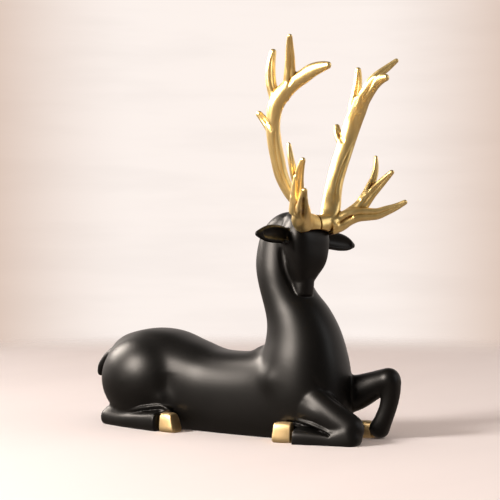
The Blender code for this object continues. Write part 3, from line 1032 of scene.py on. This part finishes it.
@dataclass
class Hooves:
    """Four blocky gilded hooves.

    A place says where one starts, its toe's direction, and its shares of the height and of the toe's slant.
    """

    voxel: float = 0.4
    spread: float = 0.3
    mark_rounds: int = 12
    length: float = 11.9
    height: float = 12.2
    width: float = 11.0
    sink: float = 0.4
    power: float = 3.8
    core: float = 0.46
    core_drop: float = 1.4
    core_power: float = 2.6
    upright: float = 0.35
    toe_lean: float = 3.8
    side_lean: float = 1.2
    places: Stations = (
        (47.0, -27.8, -0.953, -0.303, 1.0, 0.4),
        (78.5, 15.0, -1.0, 0.0, 0.84, 0.4),
        (-42.6, -32.4, 0.995, -0.05, 1.0, 1.0),
        (-42.6, 32.4, 0.995, 0.05, 1.0, 1.0),
    )

    def lean(self, points: np.ndarray, start: np.ndarray, toe: np.ndarray, share: float) -> np.ndarray:
        """Slants the toe back and the sides in towards the top.

        Args:
            points: Points of one hoof.
            start: The middle of its start.
            toe: The direction of its toe.
            share: Its share of the toe's slant.

        Returns:
            The points moved.
        """
        high = (points - start) @ UP / self.height + 0.5
        along = np.clip(((points - start) @ toe / self.length - self.upright) / (1 - self.upright), 0.0, 1.0)
        aside = np.cross(UP, toe)
        out = (points - start) @ aside / (self.width / 2)
        moved = points - (high * along * self.toe_lean * share)[..., None] * toe
        return moved - (high * out * self.side_lean)[..., None] * aside

    def block(self, start_x: float, start_y: float, toe_x: float, toe_y: float, share: float,
              lean: float) -> list[Shell]:
        """Lofts one hoof from its cuff to its toe, and the core that joins it to the leg.

        Args:
            start_x: Where it starts, along the figure.
            start_y: Where it starts, sideways.
            toe_x: The toe's direction, along the figure.
            toe_y: The toe's direction, sideways.
            share: Its share of the hooves' height.
            lean: Its share of the toe's slant.

        Returns:
            The skins of the hoof and its core.
        """
        toe = np.array((toe_x, toe_y, 0.0))
        aside = np.cross(UP, toe)
        half_width, half_height = self.width / 2, self.height * share / 2
        start = np.array((start_x, start_y, half_height - self.sink))
        rows = []
        for along, swell in ((0.0, 0.96), (0.25, 1.0), (0.6, 1.0), (0.9, 0.95)):
            centre = start + toe * along * self.length
            rows.append((*centre, half_width * swell, half_height * swell))
        hoof = loft(rows, aside, 56, 4, self.power, caps=(0.1, 0.25))
        parts = (hoof.first, hoof.rings, hoof.last)
        hoof = Shell(*(self.lean(part, start, toe, lean) for part in parts))
        middle = start - UP * self.core_drop
        half = (half_width * self.core, half_height * self.core)
        core = [(*(middle + toe * along * self.length), *half) for along in (-0.3, 0.2)]
        return [hoof, loft(core, aside, 32, 4, self.core_power, caps=(0.2, 0.2))]

    def build(self, ground: bpy.types.Object) -> bpy.types.Object:
        """Builds the four hooves.

        Args:
            ground: The slab that cuts them flat.

        Returns:
            The finished piece, named hooves.
        """
        hooves = Clay.from_shells("hooves", [shell for place in self.places for shell in self.block(*place)])
        hooves = Clay.melt(hooves, self.voxel, self.spread)
        hooves = Clay.cut(hooves, ground)
        Clay.mark(hooves, "hollow", Clay.hollowness(hooves, self.mark_rounds))
        hooves.data.shade_smooth()
        return hooves


class TubeTree(Nodes):
    """Geometry nodes that turn lines with a radius into closed tubes."""

    def __init__(self) -> None:
        """Builds the tree and notes the identifiers of its named inputs."""
        super().__init__(bpy.data.node_groups.new("tubes_along_lines", "GeometryNodeTree"))
        face = self.tree.interface
        face.new_socket("Geometry", in_out="INPUT", socket_type="NodeSocketGeometry")
        self.sides = face.new_socket("Sides", in_out="INPUT", socket_type="NodeSocketInt").identifier
        self.finish = face.new_socket("Finish", in_out="INPUT", socket_type="NodeSocketMaterial").identifier
        face.new_socket("Geometry", in_out="OUTPUT", socket_type="NodeSocketGeometry")
        start = self.node("NodeGroupInput", {}).outputs
        lines = self.output("GeometryNodeMeshToCurve", Mesh=start["Geometry"])
        radius = self.output("GeometryNodeInputNamedAttribute", Name="radius")
        circle = self.output("GeometryNodeCurvePrimitiveCircle", Resolution=start["Sides"], Radius=1.0)
        sweep = self.output("GeometryNodeCurveToMesh", Curve=lines, Profile_Curve=circle, Scale=radius,
                            Fill_Caps=True)
        whole = self.output("GeometryNodeRealizeInstances", Geometry=sweep)
        dressed = self.output("GeometryNodeSetMaterial", Geometry=whole, Material=start["Finish"])
        self.node("NodeGroupOutput", {}, Geometry=dressed)

    def output(self, kind: str, **named: object) -> bpy.types.NodeSocket:
        """Adds a node and hands over its first output."""
        return self.node(kind, {}, **named).outputs[0]

    def tubes(self, name: str, lines: Sequence[np.ndarray], sides: int,
              finish: bpy.types.Material) -> bpy.types.Object:
        """Sweeps tubes along lines.

        Args:
            name: The object's name.
            lines: Lines of x, y, z and radius, in millimetres.
            sides: How many sides a tube has.
            finish: The material that the tubes get.

        Returns:
            An object that holds the tubes as a plain mesh.
        """
        rows = np.concatenate(lines)
        edges, count = [], 0
        for line in lines:
            edges += [(count + k, count + k + 1) for k in range(len(line) - 1)]
            count += len(line)
        mesh = bpy.data.meshes.new(name)
        mesh.from_pydata(PLACING.metres(rows[:, :3]).tolist(), edges, [])
        obj = Clay.object(name, mesh)
        Clay.mark(obj, "radius", rows[:, 3] * PLACING.millimetre)
        modifier = obj.modifiers.new("tubes", "NODES")
        modifier.node_group = self.tree
        modifier[self.sides] = sides
        modifier[self.finish] = finish
        return Clay.bake(obj)


@dataclass
class Antler:
    """One gilded antler: a beam that starts in the brow piece, and six tines along lines with a radius."""

    side: Side
    tree: TubeTree
    voxel: float = 0.45
    spread: float = 0.45
    seat_gap: float = 0.3
    seam_gap: float = 0.8
    mark_rounds: int = 16
    tine_steps: int = 5
    tine_sides: int = 28
    tip_rings: int = 7
    arch_radius: float = 34.0
    arch_up: float = 14.8
    slant: Place = (1.0, 1.0, 0.35)
    beam: Stations = (
        (31.0, -2.5, 18.6, 3.8, 5.4),
        (31.2, 4.0, 18.4, 4.5, 5.5),
        (31.0, 9.4, 19.8, 5.2, 5.2),
        (29.8, 13.0, 24.8, 5.8, 4.1),
        (28.6, 15.4, 30.4, 5.9, 3.7),
        (25.8, 19.2, 36.0, 5.6, 3.6),
        (23.3, 23.8, 45.4, 5.2, 4.0),
        (22.9, 27.3, 55.0, 5.3, 4.2),
        (23.2, 31.0, 65.0, 5.3, 4.2),
        (24.3, 33.8, 75.0, 5.4, 4.2),
        (27.1, 35.0, 84.8, 5.5, 4.6),
        (30.2, 34.5, 90.0, 5.3, 4.8),
        (34.8, 32.6, 95.6, 4.9, 4.6),
        (38.8, 31.1, 98.6, 4.5, 4.2),
        (43.2, 29.5, 101.7, 4.0, 4.3),
        (48.2, 28.0, 104.9, 3.4, 4.1),
        (53.2, 26.6, 106.6, 2.9, 3.4),
        (58.8, 26.0, 107.3, 1.9, 2.2),
    )
    creases: dict[Side, Stations] = field(default_factory=lambda: {
        Side.RIGHT: (
            (27.0, 34.5, 75.0),
            (26.0, 33.5, 67.0),
            (26.0, 29.0, 48.0),
            (27.0, 23.5, 37.5),
            (29.0, 21.0, 32.0),
        ),
        Side.LEFT: (
            (27.0, 36.0, 70.0),
            (27.0, 30.0, 62.0),
            (27.0, 24.0, 51.0),
            (28.0, 19.5, 41.0),
            (31.0, 15.5, 30.0),
        ),
    })
    crease_size: tuple[float, float] = (2.4, 0.8)
    pits: dict[Side, Stations] = field(default_factory=lambda: {
        Side.RIGHT: ((31.0, 14.5, 31.0), (32.5, 14.5, 24.5), (33.5, 14.5, 18.5)),
        Side.LEFT: ((34.0, 15.0, 18.5), (36.5, 19.5, 21.5), (38.5, 24.0, 24.5)),
    })
    pit_size: tuple[float, float] = (3.6, 1.2)
    # Painted shade: how far the brown reaches from the seam and the arch's lower edge, and how hollow it
    # counts there
    seam_shade_reach: float = 0.5
    seam_shade_depth: float = 0.45
    scoop_size: tuple[float, float] = (0.85, 0.32)
    tines: Sequence[Stations] = (
        (
            (31.2, 10.9, 18.2, 6.4),
            (33.8, 16.4, 19.6, 5.7),
            (38.3, 20.6, 23.4, 5.1),
            (42.0, 24.6, 25.2, 4.5),
            (46.0, 28.8, 25.7, 4.0),
            (50.0, 33.0, 26.2, 3.5),
            (53.8, 37.0, 28.4, 3.0),
            (57.8, 40.9, 30.8, 2.3),
            (61.8, 44.6, 33.9, 1.65),
        ),
        (
            (36.4, 23.2, 24.2, 4.9),
            (40.5, 27.5, 29.4, 4.5),
            (42.3, 29.9, 33.3, 4.1),
            (44.4, 31.9, 37.5, 3.7),
            (47.3, 34.5, 41.8, 3.0),
            (50.2, 36.8, 46.0, 2.5),
            (54.8, 39.6, 51.8, 1.6),
        ),
        (
            (41.7, 28.1, 33.5, 3.0),
            (42.7, 30.5, 38.0, 2.6),
            (43.1, 33.3, 43.0, 2.4),
            (43.7, 36.0, 48.0, 2.2),
            (43.6, 37.7, 53.0, 1.9),
            (42.5, 38.8, 61.2, 1.3),
        ),
        (
            (24.6, 31.2, 66.0, 3.4),
            (22.0, 31.2, 69.6, 3.1),
            (19.2, 31.4, 72.8, 2.8),
            (16.7, 32.3, 76.2, 2.5),
            (13.4, 34.6, 80.8, 2.0),
        ),
        (
            (27.6, 34.6, 86.0, 3.6),
            (25.6, 35.4, 92.0, 3.4),
            (25.0, 37.2, 97.0, 3.2),
            (25.0, 38.2, 102.0, 3.0),
            (25.4, 38.8, 107.0, 2.8),
            (26.0, 38.0, 115.9, 2.0),
        ),
        (
            (31.2, 33.8, 89.4, 3.9),
            (33.8, 32.9, 94.0, 3.7),
            (35.4, 33.4, 98.0, 3.5),
            (36.7, 34.4, 102.0, 3.5),
            (38.2, 36.0, 107.0, 3.1),
            (41.1, 39.3, 112.0, 2.7),
            (44.8, 43.9, 117.0, 2.2),
            (48.2, 47.7, 121.45, 1.5),
        ),
    )

    def line(self, tine: Stations) -> np.ndarray:
        """Draws one tine with a rounded tip.

        Args:
            tine: Stations of forward, out, up and radius in the head's frame.

        Returns:
            The line's points, each with its radius.
        """
        rows = smooth_rows(HEAD.stations(tine, self.side), self.tine_steps)
        ahead = rows[-1, :3] - rows[-2, :3]
        ahead = ahead / np.linalg.norm(ahead)
        radius = rows[-1, 3]
        tip = []
        for angle in np.linspace(0.0, math.pi / 2, self.tip_rings)[1:-1]:
            tip.append((*(rows[-1, :3] + ahead * radius * math.sin(angle)), radius * math.cos(angle)))
        return np.concatenate([rows, tip])

    def carve(self, antler: bpy.types.Object) -> None:
        """Creases the beam lengthwise, and scoops a hollow beside its root and along each tine.

        Args:
            antler: The antler.
        """
        Groove(HEAD.stations(self.creases[self.side], self.side), *self.crease_size, soft=False).press(antler)
        Groove(HEAD.stations(self.pits[self.side], self.side), *self.pit_size).press(antler)
        width, depth = self.scoop_size
        for tine in self.tines:
            radius = sum(row[3] for row in tine) / len(tine)
            path = HEAD.stations([row[:3] for row in tine[1:]], self.side)
            Groove(path, width * radius, depth * radius).press(antler)

    def seam_shade(self, antler: bpy.types.Object) -> np.ndarray:
        """Finds where shade is painted in brown, at the seam and along the arch's lower edge.

        Args:
            antler: The antler.

        Returns:
            For each vertex a depth in millimetres, as if the surface were that hollow.
        """
        _, left, above = HEAD.axes()
        middle = np.array((PLACING.middle_x, PLACING.middle_y, 0.0))
        places = Clay.places(antler) / PLACING.millimetre + middle - np.array(HEAD.pivot)
        out, high = np.abs(places @ left), places @ above
        arch = np.hypot(out, high - self.arch_up + self.arch_radius) - self.arch_radius
        gap = np.minimum(out - self.seam_gap / 2, arch)
        return (1 - np.clip(gap / self.seam_shade_reach, 0.0, 1.0)) * self.seam_shade_depth

    def seat(self, body: bpy.types.Object) -> bpy.types.Object:
        """The casting grown by the seat's gap."""
        seat = Clay.object("seat", body.data.copy())
        grow = seat.modifiers.new("grow", "DISPLACE")
        grow.strength = self.seat_gap * PLACING.millimetre
        grow.mid_level = 0.0
        return Clay.bake(seat)

    def arch(self) -> bpy.types.Object:
        """A drum across the brow, whose top is the arched lower edge of the brow piece."""
        drum = (0.0, self.arch_up - self.arch_radius, self.arch_radius, self.arch_radius)
        rows = HEAD.stations([(0.0, *drum), (FAR, *drum)])
        shell = loft(rows, HEAD.axes()[1], 256, steps=1, caps=(0.0, 0.0), cap_rings=1)
        return Clay.from_shells("arch", [shell])

    def seam(self) -> bpy.types.Object:
        """A block over the other half of the head, which ends the antler at the seam."""
        return Clay.block("seam", (-FAR, -FAR, -FAR), (FAR, self.seam_gap / 2, FAR), True, self.side)

    def build(self, body: bpy.types.Object, finish: bpy.types.Material) -> bpy.types.Object:
        """Sculpts the antler and seats it on the brow.

        Args:
            body: The casting that it rests on.
            finish: Its material.

        Returns:
            The finished piece, named antler_right_gilt or antler_left_gilt.
        """
        ahead, left, up = HEAD.axes()
        side = self.side.value
        slant = self.slant[0] * ahead + side * self.slant[1] * left + self.slant[2] * up
        beam = loft(HEAD.stations(self.beam, self.side), slant, 40, 5, power=2.1, caps=(0.2, 0.9))
        tubes = self.tree.tubes("tines", [self.line(tine) for tine in self.tines], self.tine_sides, finish)
        name = f"antler_{self.side.name.lower()}_gilt"
        antler = Clay.join(name, [Clay.from_shells("beam", [beam]), tubes])
        antler = Clay.melt(antler, self.voxel, self.spread)
        self.carve(antler)
        for cutter in (self.arch(), self.seat(body), self.seam()):
            antler = Clay.cut(antler, cutter)
        hollow = Clay.hollowness(antler, self.mark_rounds)
        # The hollow mark also paints shade in brown at the seam and along the brow piece's lower edge
        Clay.mark(antler, "hollow", np.maximum(hollow, self.seam_shade(antler)))
        antler.data.shade_smooth()
        return antler


@dataclass(frozen=True)
class Lamp:
    """A soft box: where it stands as seen from the camera, its size, its strength, and what it does."""

    name: str
    turn: float
    height: float
    distance: float
    size: tuple[float, float]
    power: float
    colour: Colour = (1.0, 1.0, 1.0)
    lights: bool = True
    mirrored: bool = True


@dataclass(frozen=True)
class Room:
    """The pale sweep that the camera sees, with painted shade towards its sides, and the room with a dark
    front that the figure mirrors.
    """

    backdrop: Colour = (0.985, 0.895, 0.845)
    streak: float = 0.96
    streak_scale: Place = (9.0, 9.0, 60.0)
    # Painted shade: the colour that the backdrop darkens to at its sides, and where that begins and ends
    backdrop_side_shade: Colour = (0.560, 0.360, 0.250)
    fall: tuple[float, float] = (0.075, 0.265)
    daylight: Colour = (0.53, 0.475, 0.445)
    mirrored_back: Colour = (1.02, 0.91, 0.84)
    mirrored_front: Colour = (0.090, 0.083, 0.078)
    mirrored_floor: Colour = (0.300, 0.240, 0.200)
    turn: tuple[float, float] = (-0.35, 0.55)
    ceiling: tuple[float, float] = (0.25, 0.75)
    skirting: tuple[float, float] = (-0.10, 0.02)

    def world(self, look: Vector) -> bpy.types.World:
        """Builds the world.

        Args:
            look: The direction in which the camera looks.

        Returns:
            The world.
        """
        world = bpy.data.worlds.new("room")
        world.use_nodes = True
        nodes = Nodes(world.node_tree)
        here = nodes.node("ShaderNodeTexCoord", {}).outputs["Generated"]

        def along(direction: Vector) -> Value:
            """How far a ray goes in this direction, from -1 to 1."""
            made = nodes.node("ShaderNodeVectorMath", {"operation": "DOT_PRODUCT"}, here, tuple(direction))
            return Value(nodes, made.outputs["Value"])

        up = Vector(UP)
        aside, ahead, above = along(look.cross(up).normalized()), along(look), along(up)
        # Painted shade: the backdrop darkens towards the left and right of the view
        edge = nodes.number("ShaderNodeMath", {"operation": "ABSOLUTE"}, aside).between(*self.fall)
        level = nodes.node("ShaderNodeMapping", {}, Vector=here, Scale=self.streak_scale).outputs[0]
        noise = nodes.number("ShaderNodeTexNoise", {}, Vector=level, Scale=1.0, Detail=4.0)
        darker = tuple(c * self.streak for c in self.backdrop)
        plain = nodes.blend(noise.between(0.30, 0.62), darker, self.backdrop)
        seen = nodes.blend(edge, plain, self.backdrop_side_shade)
        bright = ahead.between(*self.turn) * (1.0 - above.between(*self.ceiling))
        walls = nodes.blend(bright, self.mirrored_front, self.mirrored_back)
        mirrored = nodes.blend(above.between(*self.skirting), self.mirrored_floor, walls)
        ray = nodes.node("ShaderNodeLightPath", {})
        lit = nodes.blend(ray.outputs["Is Glossy Ray"], self.daylight, mirrored)
        nodes.feed(world.node_tree.nodes["Background"].inputs["Color"],
                   nodes.blend(ray.outputs["Is Camera Ray"], lit, seen))
        return world


@dataclass
class Studio:
    """The floor, the soft lights and the camera, at the photograph's viewing angle."""

    camera_at: Place = (0.481595, -0.716789, 0.127397)
    lens: float = 100.0
    sensor: float = 36.0
    target: Place = (0.0, 0.0, 0.08)
    floor_radius: float = 0.80
    floor_fade: tuple[float, float] = (0.52, 0.78)
    floor_colour: Colour = (0.93, 0.815, 0.765)
    floor_streak: float = 0.955
    room: Room = Room()
    lamps: Sequence[Lamp] = (
        Lamp("key", -62.0, 28.0, 1.10, (0.34, 0.32), 13.0, mirrored=False),
        Lamp("sheen", -55.0, 29.0, 1.10, (0.42, 0.50), 38.0, (1.0, 0.89, 0.79), lights=False),
        Lamp("side", -122.0, 30.0, 1.20, (0.50, 0.50), 27.0, (1.0, 0.89, 0.79), lights=False),
        Lamp("fill", 80.0, 24.0, 1.20, (0.22, 0.70), 1.6),
    )

    def camera(self) -> None:
        """Sets up the camera."""
        data = bpy.data.cameras.new("camera")
        data.lens = self.lens
        data.sensor_width = self.sensor
        data.clip_start = 0.01
        obj = Clay.object("camera", data)
        obj.location = self.camera_at
        obj.rotation_euler = Vector(VIEW).to_track_quat("-Z", "Y").to_euler()
        bpy.context.scene.camera = obj

    def floor(self) -> None:
        """Lays a pale round floor that fades out at its rim."""
        turns = np.linspace(0.0, 2 * math.pi, 128, endpoint=False)
        rim = np.stack([np.cos(turns), np.sin(turns), np.zeros(len(turns))], axis=1) * self.floor_radius
        mesh = bpy.data.meshes.new("floor")
        mesh.from_pydata(rim.tolist(), [], [tuple(range(len(turns)))])
        floor = Clay.object("floor", mesh)
        paint = Paint("pale_paper")
        place = paint.place()
        radius = paint.node("ShaderNodeVectorMath", {"operation": "LENGTH"}, place).outputs["Value"]
        alpha = 1.0 - Value(paint, radius).between(*self.floor_fade)
        grain = paint.noise(5.0, 5.0, stretch=(1.0, 0.30, 1.0), roughness=0.55).between(0.30, 0.65)
        tone = paint.blend(grain, tuple(c * self.floor_streak for c in self.floor_colour), self.floor_colour)
        paint.dress(Base_Color=tone, Roughness=0.75, Alpha=alpha, Specular_IOR_Level=0.1)
        mesh.materials.append(paint.material)
        floor.visible_glossy = False

    def light(self) -> None:
        """Hangs the soft boxes, each turned to the figure."""
        back = Vector((-VIEW[0], -VIEW[1], 0.0)).normalized()
        up = Vector(UP)
        right = up.cross(back)
        for lamp in self.lamps:
            turn, height = math.radians(lamp.turn), math.radians(lamp.height)
            level = back * math.cos(turn) + right * math.sin(turn)
            aim = level * math.cos(height) + up * math.sin(height)
            data = bpy.data.lights.new(lamp.name, "AREA")
            data.shape = "RECTANGLE"
            data.size, data.size_y = lamp.size
            data.energy = lamp.power
            data.color = lamp.colour
            obj = Clay.object(lamp.name, data)
            obj.visible_diffuse, obj.visible_glossy = lamp.lights, lamp.mirrored
            obj.location = Vector(self.target) + aim * lamp.distance
            obj.rotation_euler = (-aim).to_track_quat("-Z", "Y").to_euler()

    def build(self) -> None:
        """Sets the whole studio."""
        self.floor()
        bpy.context.scene.world = self.room.world(Vector(VIEW).normalized())
        self.light()
        self.camera()
        bpy.context.scene.view_settings.view_transform = "Standard"


def hand_in(piece: bpy.types.Object, finish: bpy.types.Material, slot: str, *nodes: str) -> None:
    """Dresses a finished piece and fixes it to the figure.

    Args:
        piece: The piece.
        finish: Its material.
        slot: The record's material slot for the piece; not used.
        *nodes: The CAD nodes that it stands for.
    """
    piece.data.materials.clear()
    piece.data.materials.append(finish)
    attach(piece, "root")
    if nodes:
        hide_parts(*nodes)
    log.info("%s: %d triangles", piece.name, sum(len(p.vertices) - 2 for p in piece.data.polygons))


def main() -> None:
    """Builds the figure's pieces in order and sets them in the studio."""
    logging.basicConfig(level=logging.INFO, format="%(name)s %(message)s")
    casting = Casting()
    body = casting.build()
    hand_in(body, SatinBlack().material(), "black_lacquer", "body")
    gold = AntiqueGold("antler_gold").material()
    hand_in(Hooves().build(casting.ground()), HOOF_GOLD.material(), "antique_gold")
    tree = TubeTree()
    for side in Side:
        antler = Antler(side, tree).build(body, gold)
        hand_in(antler, gold, "antique_gold", f"antler_{side.name.lower()}")
    Studio().build()


if __name__ == "__main__":
    main()
